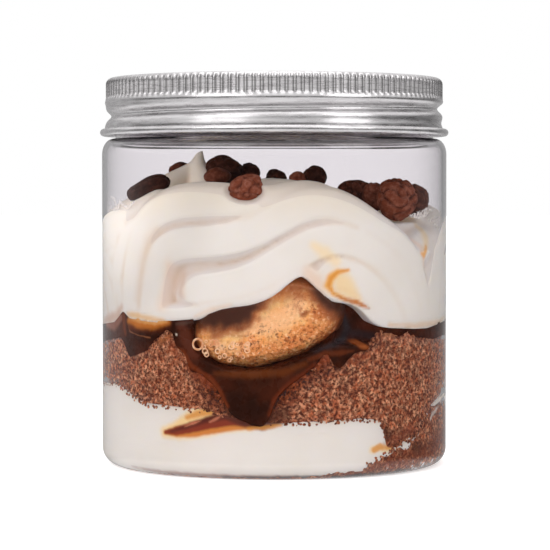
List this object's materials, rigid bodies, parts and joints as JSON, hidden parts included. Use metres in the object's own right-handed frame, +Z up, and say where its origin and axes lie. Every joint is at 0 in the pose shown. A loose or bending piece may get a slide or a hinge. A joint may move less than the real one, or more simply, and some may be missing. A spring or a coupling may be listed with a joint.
{
  "type": "tiramisu",
  "caption": "Tiramisu layered in a clear screw-top jar: cream, cocoa sponge, coffee syrup, a ladyfinger, a piped cream swirl and chocolate nuggets under an aluminium lid.",
  "frame": {"origin": "on the surface the jar stands on, under the jar's axis", "axes": "+Z up along the jar's axis, -Y towards the front, where the ladyfinger meets the wall, +X to the right as seen from the front"},
  "size_m": [0.0728, 0.0728, 0.0804],
  "materials": {
    "clear_plastic": "clear, glossy, thin wall",
    "aluminium": "satin, knurled rim",
    "cream": "soft satin, ivory",
    "cocoa_sponge": "matte, open crumb",
    "coffee_syrup": "wet gloss, dark amber brown",
    "biscuit": "matte, porous crust",
    "chocolate": "satin, wrinkled"
  },
  "bodies": {
    "root": {"jar": "clear_plastic", "lid": "aluminium", "cream_base": "cream", "sponge": "cocoa_sponge", "sponge_offcut": "cocoa_sponge", "coffee_syrup": "coffee_syrup", "ladyfinger": "biscuit", "cream_swirl": "cream", "chocolate_nugget_01": "chocolate", "chocolate_nugget_02": "chocolate", "chocolate_nugget_03": "chocolate", "chocolate_nugget_04": "chocolate", "chocolate_nugget_05": "chocolate", "chocolate_nugget_06": "chocolate", "chocolate_nugget_07": "chocolate", "chocolate_nugget_08": "chocolate", "chocolate_nugget_09": "chocolate", "chocolate_nugget_10": "chocolate", "chocolate_nugget_11": "chocolate", "chocolate_nugget_12": "chocolate", "chocolate_nugget_13": "chocolate", "chocolate_nugget_14": "chocolate", "chocolate_nugget_15": "chocolate", "chocolate_nugget_16": "chocolate"}
  },
  "joints": []
}
